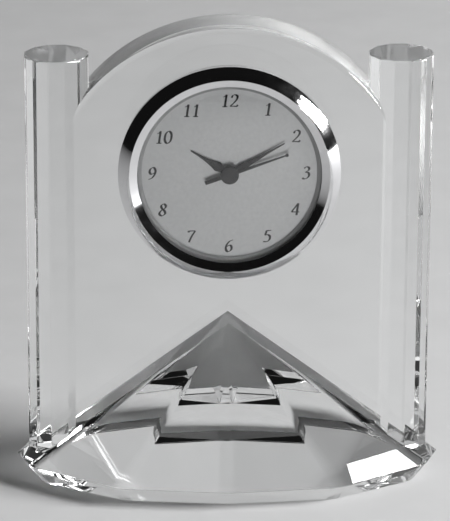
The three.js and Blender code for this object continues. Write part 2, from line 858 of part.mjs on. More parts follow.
insert.add(
  placed(
    centreAt,
    -motorAngle,
    piece('stator', stator(), 0x9fa2a6, 0.35, 1),
    piece('coil_core', coilCore(), 0x9fa2a6, 0.35, 1),
    piece('coil_winding', coilWinding(), 0xa8562a, 0.4, 1),
  ),
  piece('circuit_board', circuitBoard(), 0x1f5a3a, 0.5, 0),
  placed(polar(canRadius, chipAngle), -chipAngle, piece('ic_chip', icChip(), 0x141416, 0.6, 0)),
  placed(polar(canRadius, canAngle), -canAngle, piece('quartz_can', quartzCan(), 0xc9cbce, 0.25, 1)),
);

insert.add(placed(
  cellAt,
  90 - cellAngle,
  piece('battery', buttonCell(), 0xcfd0d2, 0.25, 1),
  piece('battery_spring', cellSpring(), 0xc8b27a, 0.35, 1),
  piece('battery_clip', cellClip(), 0xc8b27a, 0.35, 1),
));

const hourBlade = blade(hourLength, hourShoulder, hourFront);
const minuteBlade = blade(minuteLength, minuteShoulder, minuteFront);
const hourHand = handPiece([hourBlade], hourHubDiameter, hourOuter + shaftGap, hourFront);
const minuteHand = handPiece([minuteBlade], minuteHubDiameter, cannonOuter + shaftGap, minuteFront);
insert.add(
  placed(centreAt, hourAngle, piece('hour_hand', hourHand, 0x2f2f31, 0.4, 0.6)),
  placed(centreAt, minuteAngle, piece('minute_hand', minuteHand, 0x2f2f31, 0.4, 0.6)),
  placed(
    centreAt,
    secondAngle,
    piece('second_hand', secondHand(), 0x2f2f31, 0.4, 0.6),
    piece('hand_cap', handCap(), 0x3a3a3c, 0.4, 0.6),
  ),
);

export default clock;
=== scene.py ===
import math

import bmesh
import bpy
from mathutils import Matrix, Vector


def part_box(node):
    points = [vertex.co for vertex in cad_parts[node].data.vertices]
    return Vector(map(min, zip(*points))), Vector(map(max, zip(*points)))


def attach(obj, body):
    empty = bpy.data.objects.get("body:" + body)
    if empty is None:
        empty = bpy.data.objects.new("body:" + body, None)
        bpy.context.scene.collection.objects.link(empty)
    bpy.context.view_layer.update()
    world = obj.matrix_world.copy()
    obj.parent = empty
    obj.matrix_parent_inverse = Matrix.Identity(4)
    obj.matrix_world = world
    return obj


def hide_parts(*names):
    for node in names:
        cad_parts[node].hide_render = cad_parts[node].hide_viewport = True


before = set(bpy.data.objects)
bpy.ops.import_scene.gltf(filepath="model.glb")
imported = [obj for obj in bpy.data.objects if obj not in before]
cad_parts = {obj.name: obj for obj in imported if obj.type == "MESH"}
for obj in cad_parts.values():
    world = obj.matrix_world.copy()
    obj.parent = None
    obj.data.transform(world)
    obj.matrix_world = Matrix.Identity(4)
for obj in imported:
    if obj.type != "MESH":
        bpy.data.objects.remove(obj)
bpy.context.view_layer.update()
mm = 0.001
print("frame loaded:", len(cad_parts), "nodes")

# Places taken from the frame
seatGap = 0.3  # millimetres that the solids keep where they touch
bezelLow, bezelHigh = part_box("bezel")
dialZ = (bezelLow.z + bezelHigh.z) / 2
slabFront = bezelHigh.y + seatGap * mm
slabBack = -slabFront
dialCentre = Vector((0, 0, dialZ))

# How finely the pieces are made
turnSteps = 144
cornerSteps = 3
hair = 0.001 * mm  # points closer than this are one point
flatAngle = math.radians(0.5)  # faces that meet at less than this are one face


# Materials: every finish has grain on Object coordinates
grain = {
    "detail": 4,
    "span": (0.3, 0.7),  # the part of the noise that the tones spread over
    "bumpDepth": 0.02 * mm,
}


def startMaterial(name, **sockets):
    material = bpy.data.materials.new(name)
    material.use_nodes = True
    shader = material.node_tree.nodes["Principled BSDF"]
    for socket, value in sockets.items():
        shader.inputs[socket.replace("_", " ")].default_value = value
    return material, shader


def grainNode(material, scale, stretch=(1, 1, 1)):
    nodes, links = material.node_tree.nodes, material.node_tree.links
    place = nodes.new("ShaderNodeTexCoord")
    mapping = nodes.new("ShaderNodeMapping")
    mapping.inputs["Scale"].default_value = stretch
    noise = nodes.new("ShaderNodeTexNoise")
    noise.inputs["Scale"].default_value = scale
    noise.inputs["Detail"].default_value = grain["detail"]
    links.new(place.outputs["Object"], mapping.inputs["Vector"])
    links.new(mapping.outputs["Vector"], noise.inputs["Vector"])
    return noise


def colourRange(material, noise, dark, light):
    ramp = material.node_tree.nodes.new("ShaderNodeValToRGB")
    for stop, position, colour in zip(ramp.color_ramp.elements, grain["span"], (dark, light)):
        stop.position = position
        stop.color = (*colour, 1)
    material.node_tree.links.new(noise.outputs["Fac"], ramp.inputs["Fac"])
    return ramp.outputs["Color"]


def valueRange(material, noise, low, high):
    spread = material.node_tree.nodes.new("ShaderNodeMapRange")
    spread.inputs["From Min"].default_value, spread.inputs["From Max"].default_value = grain["span"]
    spread.inputs["To Min"].default_value = low
    spread.inputs["To Max"].default_value = high
    material.node_tree.links.new(noise.outputs["Fac"], spread.inputs["Value"])
    return spread.outputs["Result"]


def addBump(material, shader, noise, strength):
    bump = material.node_tree.nodes.new("ShaderNodeBump")
    bump.inputs["Strength"].default_value = strength
    bump.inputs["Distance"].default_value = grain["bumpDepth"]
    material.node_tree.links.new(noise.outputs["Fac"], bump.inputs["Height"])
    material.node_tree.links.new(bump.outputs["Normal"], shader.inputs["Normal"])


def grainFinish(name, dark, light, rough, scale, bump=0.0, stretch=(1, 1, 1), **sockets):
    material, shader = startMaterial(name, **sockets)
    noise = grainNode(material, scale, stretch)
    links = material.node_tree.links
    links.new(colourRange(material, noise, dark, light), shader.inputs["Base Color"])
    links.new(valueRange(material, noise, *rough), shader.inputs["Roughness"])
    if bump:
        addBump(material, shader, noise, bump)
    return material


def crystalGlass():
    return grainFinish(
        "crystalGlass", (0.975, 0.982, 0.98), (0.995, 0.998, 0.996), (0.0, 0.006), 60,
        Transmission_Weight=1.0, IOR=1.545,
    )


def groundGlass():
    return grainFinish(
        "groundGlass", (0.97, 0.975, 0.975), (0.99, 0.993, 0.993), (0.4, 0.55), 500,
        Transmission_Weight=0.5, IOR=1.545,
    )


def lensGlass():
    return grainFinish(
        "lensGlass", (0.97, 0.975, 0.975), (0.99, 0.993, 0.993), (0.0, 0.01), 90,
        Transmission_Weight=1.0, IOR=1.49,
    )


def polishedChrome():
    return grainFinish(
        "polishedChrome", (0.80, 0.80, 0.81), (0.86, 0.86, 0.87), (0.05, 0.1), 220,
        Metallic=1.0,
    )


def ringMetal():
    return grainFinish(
        "ringMetal", (0.50, 0.505, 0.51), (0.54, 0.545, 0.55), (0.42, 0.5), 2000,
        Metallic=0.4,
    )


def dialLacquer():
    return grainFinish(
        "dialLacquer", (0.71, 0.713, 0.715), (0.77, 0.773, 0.775), (0.30, 0.36), 900,
        bump=0.1, Metallic=0.85,
    )


def numeralInk():
    return grainFinish(
        "numeralInk", (0.012, 0.012, 0.013), (0.03, 0.03, 0.032), (0.35, 0.5), 1200,
    )


def handLacquer():
    return grainFinish(
        "handLacquer", (0.035, 0.035, 0.037), (0.065, 0.065, 0.068), (0.28, 0.42), 800,
        bump=0.1, Metallic=0.3,
    )


def brushedSteel():
    return grainFinish(
        "brushedSteel", (0.50, 0.50, 0.51), (0.68, 0.68, 0.69), (0.2, 0.34), 140,
        bump=0.2, stretch=(1, 14, 1), Metallic=1.0,
    )


def brightSteel():
    return grainFinish(
        "brightSteel", (0.52, 0.53, 0.55), (0.66, 0.67, 0.69), (0.18, 0.3), 700,
        Metallic=1.0,
    )


def nickelPlate():
    return grainFinish(
        "nickelPlate", (0.66, 0.66, 0.65), (0.76, 0.76, 0.75), (0.12, 0.22), 500,
        Metallic=1.0,
    )


def turnedBrass():
    return grainFinish(
        "turnedBrass", (0.60, 0.43, 0.15), (0.74, 0.56, 0.24), (0.2, 0.34), 600,
        Metallic=1.0,
    )


def enamelWire():
    return grainFinish(
        "enamelWire", (0.30, 0.10, 0.035), (0.52, 0.20, 0.08), (0.25, 0.4), 260,
        bump=0.5, stretch=(0.2, 0.2, 12), Metallic=0.6,
    )


def softRubber():
    return grainFinish(
        "softRubber", (0.03, 0.03, 0.032), (0.055, 0.055, 0.058), (0.6, 0.8), 900,
        bump=0.4,
    )


def paleRubber():
    return grainFinish(
        "paleRubber", (0.82, 0.825, 0.825), (0.88, 0.885, 0.885), (0.45, 0.6), 700,
        bump=0.2,
    )


def blackPlastic():
    return grainFinish(
        "blackPlastic", (0.014, 0.014, 0.016), (0.03, 0.03, 0.033), (0.36, 0.52), 1600,
        bump=0.45,
    )


def palePlastic():
    return grainFinish(
        "palePlastic", (0.66, 0.65, 0.61), (0.74, 0.73, 0.69), (0.42, 0.55), 900,
        bump=0.2,
    )


def wheelPlastic():
    return grainFinish(
        "wheelPlastic", (0.76, 0.75, 0.69), (0.84, 0.83, 0.78), (0.35, 0.48), 1000,
        bump=0.1,
    )


def magnetPlastic():
    return grainFinish(
        "magnetPlastic", (0.05, 0.05, 0.052), (0.11, 0.11, 0.113), (0.4, 0.55), 1400,
        bump=0.3,
    )


def solderMask():
    return grainFinish(
        "solderMask", (0.012, 0.10, 0.045), (0.03, 0.16, 0.075), (0.25, 0.4), 420,
        bump=0.15,
    )


finishes = {make.__name__: make() for make in (
    crystalGlass, groundGlass, lensGlass, polishedChrome, ringMetal, dialLacquer, numeralInk,
    handLacquer, brushedSteel, brightSteel, nickelPlate, turnedBrass, enamelWire, softRubber,
    paleRubber, blackPlastic, palePlastic, wheelPlastic, magnetPlastic, solderMask,
)}
print("finishes made:", len(finishes))


# Making pieces
def newObject(name, data):
    made = bpy.data.objects.new(name, data)
    bpy.context.scene.collection.objects.link(made)
    return made


def meshObject(bm, name):
    mesh = bpy.data.meshes.new(name)
    bm.to_mesh(mesh)
    bm.free()
    return newObject(name, mesh)


def addPiece(bm, name, body, finish, nodes=(), smoothAngle=30, allSmooth=True):
    smooth = [allSmooth or face.smooth for face in bm.faces]
    piece = meshObject(bm, name)
    piece.data.set_sharp_from_angle(angle=math.radians(smoothAngle))
    piece.data.polygons.foreach_set("use_smooth", smooth)  # the line above clears it
    piece.data.materials.append(finishes[finish])
    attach(piece, body)
    if nodes:
        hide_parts(*nodes)
    return piece


def samePoint(a, b):
    return (a - b).length < hair


def bevel(bm, geom, width, segments, affect="EDGES"):
    bmesh.ops.bevel(
        bm, geom=list(geom), offset=width, offset_type="OFFSET", affect=affect, segments=segments,
        profile=0.5, material=-1, clamp_overlap=True,
    )


def movedVerts(made):
    return [v for v in made["geom"] if isinstance(v, bmesh.types.BMVert)]


def thicken(bm, faces, vec):
    made = bmesh.ops.extrude_face_region(bm, geom=faces)
    bmesh.ops.translate(bm, verts=movedVerts(made), vec=vec)
    bmesh.ops.recalc_face_normals(bm, faces=bm.faces)


def curve(start, pull, end, steps):
    # From start to end in one bend, drawn towards pull
    shares = [step / steps for step in range(steps + 1)]
    return [start * (1 - t) ** 2 + pull * 2 * t * (1 - t) + end * t ** 2 for t in shares]


def spun(profile, steps=turnSteps, corner=0.0, onAxis=False):
    # A profile of (radius, depth behind the slab's front) pairs, turned about the dial's axis
    bm = bmesh.new()
    points = [bm.verts.new((radius * mm, slabFront + depth * mm, dialZ)) for radius, depth in profile]
    ends = points[1:] if onAxis else points[1:] + points[:1]
    for pair in zip(points, ends):
        bm.edges.new(pair)
    if corner:
        bevel(bm, points[1:-1] if onAxis else points, corner * mm, cornerSteps, affect="VERTICES")
    bmesh.ops.spin(
        bm, geom=bm.verts[:] + bm.edges[:], cent=dialCentre, axis=(0, 1, 0), angle=math.tau, steps=steps,
        use_merge=True,
    )
    bmesh.ops.remove_doubles(bm, verts=bm.verts, dist=hair)
    bmesh.ops.recalc_face_normals(bm, faces=bm.faces)
    return bm


def cylinder(middle, radius, length, segments):
    # Lies along the dial's axis
    bm = bmesh.new()
    bmesh.ops.create_cone(
        bm, cap_ends=True, segments=segments, radius1=radius, radius2=radius, depth=length,
        matrix=Matrix.Translation(middle) @ Matrix.Rotation(math.pi / 2, 4, "X"),
    )
    return bm


def carve(body, tools):
    # tools are (bmesh, operation) pairs, worked one after the other
    whole = meshObject(body, "whole")
    for toolMesh, operation in tools:
        tool = meshObject(toolMesh, "tool")
        step = whole.modifiers.new("step", "BOOLEAN")
        step.operation = operation
        step.solver = "EXACT"
        step.object = tool
        bpy.context.view_layer.update()
        depsgraph = bpy.context.evaluated_depsgraph_get()
        made = bpy.data.meshes.new_from_object(whole.evaluated_get(depsgraph))
        whole.modifiers.clear()
        whole.data = made
        bpy.data.objects.remove(tool)
    bm = bmesh.new()
    bm.from_mesh(whole.data)
    bpy.data.objects.remove(whole)
    return bm


# Crystal: arched slab, two twelve-sided columns and a faceted base, polished into one block
crystal = {
    "columnSpacing": 108 * mm,
    "columnFlats": 20.2 * mm,
    "columnHeight": 141.3 * mm,
    "columnSides": 12,
    "archSpring": 114.1 * mm,
    "archRise": 37.4 * mm,
    "archSteps": 96,
    "apexHeight": 54.4 * mm,
    "rimTop": 6.75 * mm,
    "rimHeight": 0.3 * mm,
    "undercut": (4.6 * mm, 6.6 * mm),  # at the ends, at the front and back
    "bow": (135.8 * mm, 69.3 * mm),
    "frontCorner": (70.6 * mm, 61.4 * mm),
    "sideCorner": (126.8 * mm, 24.4 * mm),
    "boreRadius": 31.5 * mm,
    "boreSteps": 160,
    "near": 0.01 * mm,  # points this close to the bore's wall or a tip are on it
    "cutFace": 40 * mm ** 2,  # faces larger than this are cut flat
    "smoothAngle": 16,
    # Eased edges: width and segments
    "frontEdge": (1.7 * mm, 6),
    "backEdge": (0.45 * mm, 3),
    "columnTop": (0.5 * mm, 2),
    "columnEdge": (0.12 * mm, 2),
    "ridge": (2.8 * mm, 12),  # half the width of a ridge at the rim
    "cutEdge": (0.2 * mm, 2),
    "boreEdge": (0.3 * mm, 2),
}


def archSlab(c):
    half = c["columnSpacing"] / 2
    radius = (half ** 2 + c["archRise"] ** 2) / (2 * c["archRise"])
    centre = Vector((0, slabFront, c["archSpring"] + c["archRise"] - radius))
    sweep = 2 * math.asin(half / radius)
    bm = bmesh.new()
    spring = bm.verts.new((half, slabFront, c["archSpring"]))
    bmesh.ops.spin(bm, geom=[spring], cent=centre, axis=(0, -1, 0), angle=sweep, steps=c["archSteps"])
    ends = sorted(bm.verts, key=lambda v: abs(v.co.x))[-2:]
    feet = [bm.verts.new((math.copysign(half, v.co.x), slabFront, c["rimTop"])) for v in ends]
    for pair in (*zip(ends, feet), feet):
        bm.edges.new(pair)
    face = bmesh.ops.contextual_create(bm, geom=bm.edges[:])["faces"]
    thicken(bm, face, (0, slabBack - slabFront, 0))
    for depth, rounding in ((slabFront, c["frontEdge"]), (slabBack, c["backEdge"])):
        edges = [
            e for e in bm.edges
            if all(abs(v.co.y - depth) < hair and v.co.z > c["archSpring"] - hair for v in e.verts)
        ]
        bevel(bm, edges, *rounding)
    return bm


def crystalColumn(c, side):
    bm = bmesh.new()
    radius = c["columnFlats"] / 2 / math.cos(math.pi / c["columnSides"])
    height = c["columnHeight"] - c["rimTop"]
    place = Matrix.Translation((side * c["columnSpacing"] / 2, 0, c["rimTop"] + height / 2))
    turn = Matrix.Rotation(math.pi / c["columnSides"], 4, "Z")
    bmesh.ops.create_cone(
        bm, cap_ends=True, segments=c["columnSides"], radius1=radius, radius2=radius, depth=height,
        matrix=place @ turn,
    )
    top = [e for e in bm.edges if all(v.co.z > c["columnHeight"] - hair for v in e.verts)]
    bevel(bm, top, *c["columnTop"])
    upright = [e for e in bm.edges if abs(e.verts[0].co.z - e.verts[1].co.z) > height / 2]
    bevel(bm, upright, *c["columnEdge"])
    return bm


def rimOutline(c):
    # Seen from above; its front and side corners are rounded, so the ridges up to the point are slim cones
    (width, depth), front, side = c["bow"], c["frontCorner"], c["sideCorner"]
    half = [(0, depth), front, side, (width, 0), (side[0], -side[1]), (front[0], -front[1])]
    bm = bmesh.new()
    points = [bm.verts.new((x / 2, y / 2, 0)) for x, y in half + [(-x, -y) for x, y in half]]
    for pair in zip(points, points[1:] + points[:1]):
        bm.edges.new(pair)
    corners = [v for v in points if v.co.x and v.co.y]
    bevel(bm, corners, *c["ridge"], affect="VERTICES")
    outline = [v.co.copy() for v in bm.verts]
    bm.free()
    return outline


def baseTips(c):
    return [Vector((0, depth, c["apexHeight"])) for depth in (slabFront, slabBack)]


def crystalBase(c):
    outline = rimOutline(c)
    halfWidth, halfDepth = c["bow"][0] / 2, c["bow"][1] / 2
    rimLow = c["rimTop"] - c["rimHeight"]
    bm = bmesh.new()
    for inset, height in (((0, 0), c["rimTop"]), ((0, 0), rimLow), (c["undercut"], 0)):
        shrink = Vector((1 - inset[0] / halfWidth, 1 - inset[1] / halfDepth, 1))
        for point in outline:
            bm.verts.new(point * shrink + Vector((0, 0, height)))
    for tip in baseTips(c):
        bm.verts.new(tip)
    bmesh.ops.convex_hull(bm, input=bm.verts)
    bmesh.ops.dissolve_limit(bm, angle_limit=flatAngle, verts=bm.verts, edges=bm.edges)
    low = [e for e in bm.edges if all(v.co.z < c["rimTop"] + hair for v in e.verts)]
    bevel(bm, low, *c["cutEdge"])
    return bm


def crystalBlock(c):
    def onWall(verts):
        return all(abs((v.co - dialCentre).xz.length - c["boreRadius"]) < c["near"] for v in verts)

    bore = cylinder(dialCentre, c["boreRadius"], 2 * (slabBack - slabFront), c["boreSteps"])
    bm = carve(archSlab(c), [
        (crystalColumn(c, -1), "UNION"),
        (crystalColumn(c, 1), "UNION"),
        (crystalBase(c), "UNION"),
        (bore, "DIFFERENCE"),
    ])
    bmesh.ops.remove_doubles(bm, verts=bm.verts, dist=hair)
    rim = [e for e in bm.edges if onWall(e.verts) and abs(e.verts[0].co.y - e.verts[1].co.y) < hair]
    bevel(bm, rim, *c["boreEdge"])
    for face in bm.faces:
        face.material_index = int(onWall(face.verts))  # the drilled wall is left ground
        atTip = any((v.co - tip).length < c["near"] for v in face.verts for tip in baseTips(c))
        face.smooth = face.calc_area() < c["cutFace"] and not atTip
    return bm


block = addPiece(
    crystalBlock(crystal), "crystal", "crystal", "crystalGlass", ["crystal_body"],
    smoothAngle=crystal["smoothAngle"], allSmooth=False,
)
block.data.materials.append(finishes["groundGlass"])
print("crystal made")


# Bezel, lens, ring and dial, in millimetres from the dial's axis and the slab's front
insert = {
    "bezelRadius": 35.0,
    "bezelEdge": 1.6,
    "bezelSteps": 192,
    "crestRadius": 31.5,
    "crestHeight": 4.8,
    "swell": 0.35,
    "slopeSteps": 10,
    "openingRadius": 29.0,
    "openingHeight": 3.3,
    "lipBack": -2.8,
    "recessRadius": 31.5,
    "lensRadius": 31.2,
    "lensFront": -2.5,
    "lensBack": -1.5,
    "lensDome": 2.2,
    "domeSteps": 12,
    "gasketRadii": (30.1, 31.2),
    "gasketDepths": (-1.2, -0.6),
    "gasketCorner": 0.15,
    "ringMouth": 28.5,
    "ringThroat": 27.5,
    "ringRim": 29.8,
    "ringCorner": 0.1,
    "dialRadius": 29.8,
    "dialDepths": (-0.4, 0.0),
    "dialHole": 1.9,
}


def bezelProfile(c):
    edge = Vector((c["bezelRadius"], -c["bezelEdge"]))
    crest = Vector((c["crestRadius"], -c["crestHeight"]))
    along = crest - edge
    pull = (edge + crest) / 2 + Vector((along.y, -along.x)).normalized() * c["swell"]
    return [
        (c["bezelRadius"], -seatGap),
        *curve(edge, pull, crest, c["slopeSteps"]),
        (c["openingRadius"], -c["openingHeight"]),
        (c["openingRadius"], c["lipBack"]),
        (c["recessRadius"], c["lipBack"]),
        (c["recessRadius"], -seatGap),
    ]


def ringProfile(c):
    front, back = c["gasketDepths"][0], c["dialDepths"][0] - seatGap
    return [(c["ringMouth"], front), (c["ringRim"], front), (c["ringRim"], back), (c["ringThroat"], back)]


def lensProfile(c):
    # A shallow dome with a flat rim under the bezel's lip
    def arc(edge):
        shares = [step / c["domeSteps"] for step in range(c["domeSteps"] + 1)]
        return [(share * c["ringMouth"], edge - c["lensDome"] * (1 - share ** 2)) for share in shares]

    rim = [(c["lensRadius"], c["lensFront"]), (c["lensRadius"], c["lensBack"])]
    return [*arc(c["lensFront"]), *rim, *reversed(arc(c["lensBack"]))]


def tubeProfile(radii, depths):
    return [(radii[0], depths[0]), (radii[1], depths[0]), (radii[1], depths[1]), (radii[0], depths[1])]


bezelShape = spun(bezelProfile(insert), insert["bezelSteps"])
addPiece(bezelShape, "bezelRing", "insert", "polishedChrome", ["bezel"])
lensShape = spun(lensProfile(insert), onAxis=True)
addPiece(lensShape, "lensDome", "insert", "lensGlass", ["lens"])
sealShape = spun(tubeProfile(insert["gasketRadii"], insert["gasketDepths"]), corner=insert["gasketCorner"])
addPiece(sealShape, "lensSeal", "insert", "softRubber", ["lens_gasket"])
ringShape = spun(ringProfile(insert), corner=insert["ringCorner"])
addPiece(ringShape, "dialRing", "insert", "ringMetal", ["dial_ring"])
dialShape = spun(tubeProfile((insert["dialHole"], insert["dialRadius"]), insert["dialDepths"]))
addPiece(dialShape, "dialPlate", "insert", "dialLacquer", ["dial"])
print("bezel, lens and dial made")


# Numerals: broad-nib strokes, drawn in a box one unit high with the baseline at 0
numerals = {
    # In millimetres
    "height": 4.0,
    "radius": 24.1,
    "wideInset": 0.4,  # how much further in a number of two digits stands
    "thickness": 0.03,
    "lift": 0.005,
    # In the box's unit
    "boxWidth": 0.56,
    "widen": 1.1,
    "slant": 0.13,
    "gap": 0.07,
    "broad": 0.17,
    "fine": 0.055,
    "nineTurn": (0.54, 0.99),  # the 9 is the 6 turned half round in a box of this size
    "nibAngle": 22,
    "steps": 7,
}
strokes = {
    "0": [
        [(0.27, 1.0), (0.07, 0.76), (0.06, 0.26), (0.27, 0.0), (0.48, 0.25), (0.48, 0.76), (0.27, 1.0)],
    ],
    "1": [
        [(0.1, 0.8), (0.22, 0.87), (0.31, 1.0)],
        [(0.31, 1.0), (0.3, 0.5), (0.3, 0.02)],
        [(0.12, 0.02), (0.48, 0.02)],
    ],
    "2": [
        [(0.07, 0.74), (0.14, 0.93), (0.31, 0.99), (0.47, 0.86), (0.45, 0.62), (0.28, 0.33), (0.04, 0.04)],
        [(0.04, 0.05), (0.3, 0.06), (0.55, 0.04)],
        [(0.53, 0.05), (0.57, 0.17)],
    ],
    "3": [
        [(0.08, 0.86), (0.22, 0.99), (0.41, 0.93), (0.42, 0.72), (0.2, 0.55)],
        [(0.2, 0.55), (0.42, 0.51), (0.5, 0.28), (0.38, 0.06), (0.2, 0.0), (0.04, 0.07)],
    ],
    "4": [
        [(0.41, 1.0), (0.22, 0.66), (0.01, 0.29)],
        [(0.01, 0.28), (0.3, 0.28), (0.57, 0.28)],
        [(0.41, 1.0), (0.4, 0.5), (0.4, 0.01)],
    ],
    "5": [
        [(0.18, 0.95), (0.35, 0.95), (0.51, 0.97)],
        [(0.18, 0.95), (0.15, 0.76), (0.12, 0.55)],
        [(0.12, 0.55), (0.3, 0.6), (0.46, 0.47), (0.47, 0.22), (0.31, 0.03), (0.03, 0.03)],
    ],
    "6": [
        [(0.5, 0.99), (0.26, 0.86), (0.09, 0.55), (0.08, 0.22), (0.25, 0.0), (0.45, 0.14), (0.47, 0.4),
         (0.33, 0.55), (0.12, 0.44)],
    ],
    "7": [
        [(0.07, 0.82), (0.09, 0.95)],
        [(0.08, 0.94), (0.3, 0.94), (0.54, 0.95)],
        [(0.54, 0.95), (0.34, 0.5), (0.2, 0.0)],
    ],
    "8": [
        [(0.4, 0.62), (0.46, 0.82), (0.3, 0.99), (0.13, 0.84), (0.2, 0.62), (0.4, 0.42), (0.48, 0.2),
         (0.28, 0.0), (0.07, 0.16), (0.16, 0.42), (0.4, 0.62)],
    ],
}
turnX, turnY = numerals["nineTurn"]
strokes["9"] = [[(turnX - x, turnY - y) for x, y in line] for line in strokes["6"]]


def smoothLine(points, steps):
    # A curve through the points, each bend leaning on its two neighbours
    points = [Vector(p) for p in points]
    closed = samePoint(points[0], points[-1])
    before = points[-2] if closed else points[0] * 2 - points[1]
    after = points[1] if closed else points[-1] * 2 - points[-2]
    padded = [before, *points, after]
    line = []
    for a, b, c, d in zip(padded, padded[1:], padded[2:], padded[3:]):
        for t in (step / steps for step in range(steps)):
            square = (2 * a - 5 * b + 4 * c - d) * t ** 2
            cube = (3 * b - a - 3 * c + d) * t ** 3
            line.append((2 * b + (c - a) * t + square + cube) / 2)
    return [*line, points[-1]]


def penStroke(bm, line, place, c):
    # Two rails follow the line, as far apart as a broad pen held at one angle would draw it
    nib = math.radians(c["nibAngle"])
    closed = samePoint(line[0], line[-1])
    last = len(line) - 1
    rails = [[], []]
    for index, point in enumerate(line):
        behind = line[index - 1] if index else line[-2 if closed else 0]
        ahead = line[index + 1] if index < last else line[1 if closed else -1]
        heading = (ahead - behind).normalized()
        across = Vector((-heading.y, heading.x))
        lean = math.atan2(across.y, across.x) - nib
        half = math.hypot(c["broad"] * math.cos(lean), c["fine"] * math.sin(lean)) / 2
        for rail, side in zip(rails, (-1, 1)):
            rail.append(bm.verts.new(place(point + across * half * side)))
    edges = [bm.edges.new(pair) for rail in rails for pair in zip(rail, rail[1:])]
    bmesh.ops.bridge_loops(bm, edges=edges)


def numeralRing(c):
    bm = bmesh.new()
    front = slabFront + (insert["dialDepths"][0] - c["lift"]) * mm
    size = c["height"]
    digitWidth = c["boxWidth"] * c["widen"]
    for hour in range(1, 13):
        angle = math.tau * hour / 12
        text = str(hour)
        radius = c["radius"] - c["wideInset"] * (len(text) - 1)
        centre = Vector((math.sin(angle), math.cos(angle))) * radius
        width = len(text) * digitWidth + (len(text) - 1) * c["gap"]
        for place, digit in enumerate(text):
            left = place * (digitWidth + c["gap"]) - width / 2

            def dialPoint(p):
                x = centre.x + (left + p.x * c["widen"] + c["slant"] * (p.y - 0.5)) * size
                z = centre.y + (p.y - 0.5) * size
                return x * mm, front, dialZ + z * mm

            for line in strokes[digit]:
                penStroke(bm, smoothLine(line, c["steps"]), dialPoint, c)
    bmesh.ops.remove_doubles(bm, verts=bm.verts, dist=hair)
    bmesh.ops.recalc_face_normals(bm, faces=bm.faces)
    thicken(bm, bm.faces[:], (0, -c["thickness"] * mm, 0))
    return bm


addPiece(numeralRing(numerals), "numerals", "insert", "numeralInk")
print("numerals made")


# Hands, in millimetres, with angles clockwise from twelve
hands = {
    "thickness": 0.3,
    "tipWidth": 0.35,
    "shoulderReach": 4.4,
    "drawIn": 1 / 3,  # how far along the blade its curve is drawn in
    "bladeSteps": 14,
    "hubSteps": 48,
    "sharpEdge": 1.0,  # radians between the faces of an edge that is eased
    "easedEdge": (0.05, 2),  # width and segments
    "hour": {"length": 14.3, "shoulder": 3.3, "hub": 2.7, "hole": 1.9, "front": -1.1, "angle": 302.0},
    "minute": {"length": 19.9, "shoulder": 2.3, "hub": 2.4, "hole": 1.2, "front": -1.7, "angle": 59.6},
    "second": {
        "length": 19.0, "rootWidth": 1.2, "needleWidth": 0.4, "tail": 8.1, "tailWidth": 1.3, "dot": 1.1,
        "dotSteps": 24, "hub": 1.7, "hole": 0.6, "front": -2.3, "angle": 70.5,
    },
    "cap": {
        "radius": 2.9, "crownRadius": 1.74, "front": -3.2, "crownDepth": 0.06, "rimDepth": 0.18,
        "back": -2.6, "corner": 0.11, "steps": 64,
    },
}


def flatPlate(outlines, front, thickness, angle):
    # Flat outlines as seen from the front, thickened and turned on the dial's axis
    bm = bmesh.new()
    for outline in outlines:
        start = [bm.verts.new((x * mm, slabFront + front * mm, dialZ + z * mm)) for x, z in outline]
        face = bmesh.ops.contextual_create(bm, geom=start)["faces"]
        thicken(bm, face, (0, thickness * mm, 0))
    turn = Matrix.Rotation(math.radians(angle), 3, "Y")
    bmesh.ops.rotate(bm, verts=bm.verts, cent=dialCentre, matrix=turn)
    return bm


def bladeOutline(c, hand):
    half, tip = hand["shoulder"] / 2, c["tipWidth"] / 2
    reach, length = c["shoulderReach"], hand["length"]
    shoulder, end = Vector((half, reach)), Vector((tip, length))
    pull = Vector((c["tipWidth"], reach + (length - reach) * c["drawIn"]))
    right = [(half / 2, hand["hole"]), *curve(shoulder, pull, end, c["bladeSteps"])]
    return right + [(-x, z) for x, z in reversed(right)]


def needleOutlines(hand):
    root, tip, tail = hand["rootWidth"] / 2, hand["needleWidth"] / 2, hand["tailWidth"] / 2
    start, end, back, dot = hand["hole"], hand["length"], hand["tail"], hand["dot"] / 2
    turns = [math.tau * step / hand["dotSteps"] for step in range(hand["dotSteps"])]
    return [
        [(root, start), (tip, end), (-tip, end), (-root, start)],
        [(tail, -back), (tail, -start), (-tail, -start), (-tail, -back)],
        [(dot * math.sin(turn), end + dot * math.cos(turn)) for turn in turns],
    ]


def handShape(c, hand, outlines):
    blade = flatPlate(outlines, hand["front"], c["thickness"], hand["angle"])
    depths = (hand["front"], hand["front"] + c["thickness"])
    hub = spun(tubeProfile((hand["hole"], hand["hub"]), depths), c["hubSteps"])
    bm = carve(hub, [(blade, "UNION")])
    bmesh.ops.dissolve_limit(bm, angle_limit=flatAngle, verts=bm.verts, edges=bm.edges)
    edges = [e for e in bm.edges if e.is_manifold and e.is_convex and e.calc_face_angle(0) > c["sharpEdge"]]
    width, segments = c["easedEdge"]
    bevel(bm, edges, width * mm, segments)
    return bm


def capProfile(c):
    return [
        (0, c["front"]),
        (c["crownRadius"], c["front"] + c["crownDepth"]),
        (c["radius"], c["front"] + c["rimDepth"]),
        (c["radius"], c["back"]),
        (0, c["back"]),
    ]


handOutlines = {name: [bladeOutline(hands, hands[name])] for name in ("hour", "minute")}
handOutlines["second"] = needleOutlines(hands["second"])
for name, outlines in handOutlines.items():
    shape = handShape(hands, hands[name], outlines)
    addPiece(shape, name + "Hand", name + "_train", "handLacquer", [name + "_hand"])
cap = hands["cap"]
capShape = spun(capProfile(cap), cap["steps"], corner=cap["corner"], onAxis=True)
addPiece(capShape, "handCap", "second_train", "handLacquer", ["hand_cap"])
print("hands made")


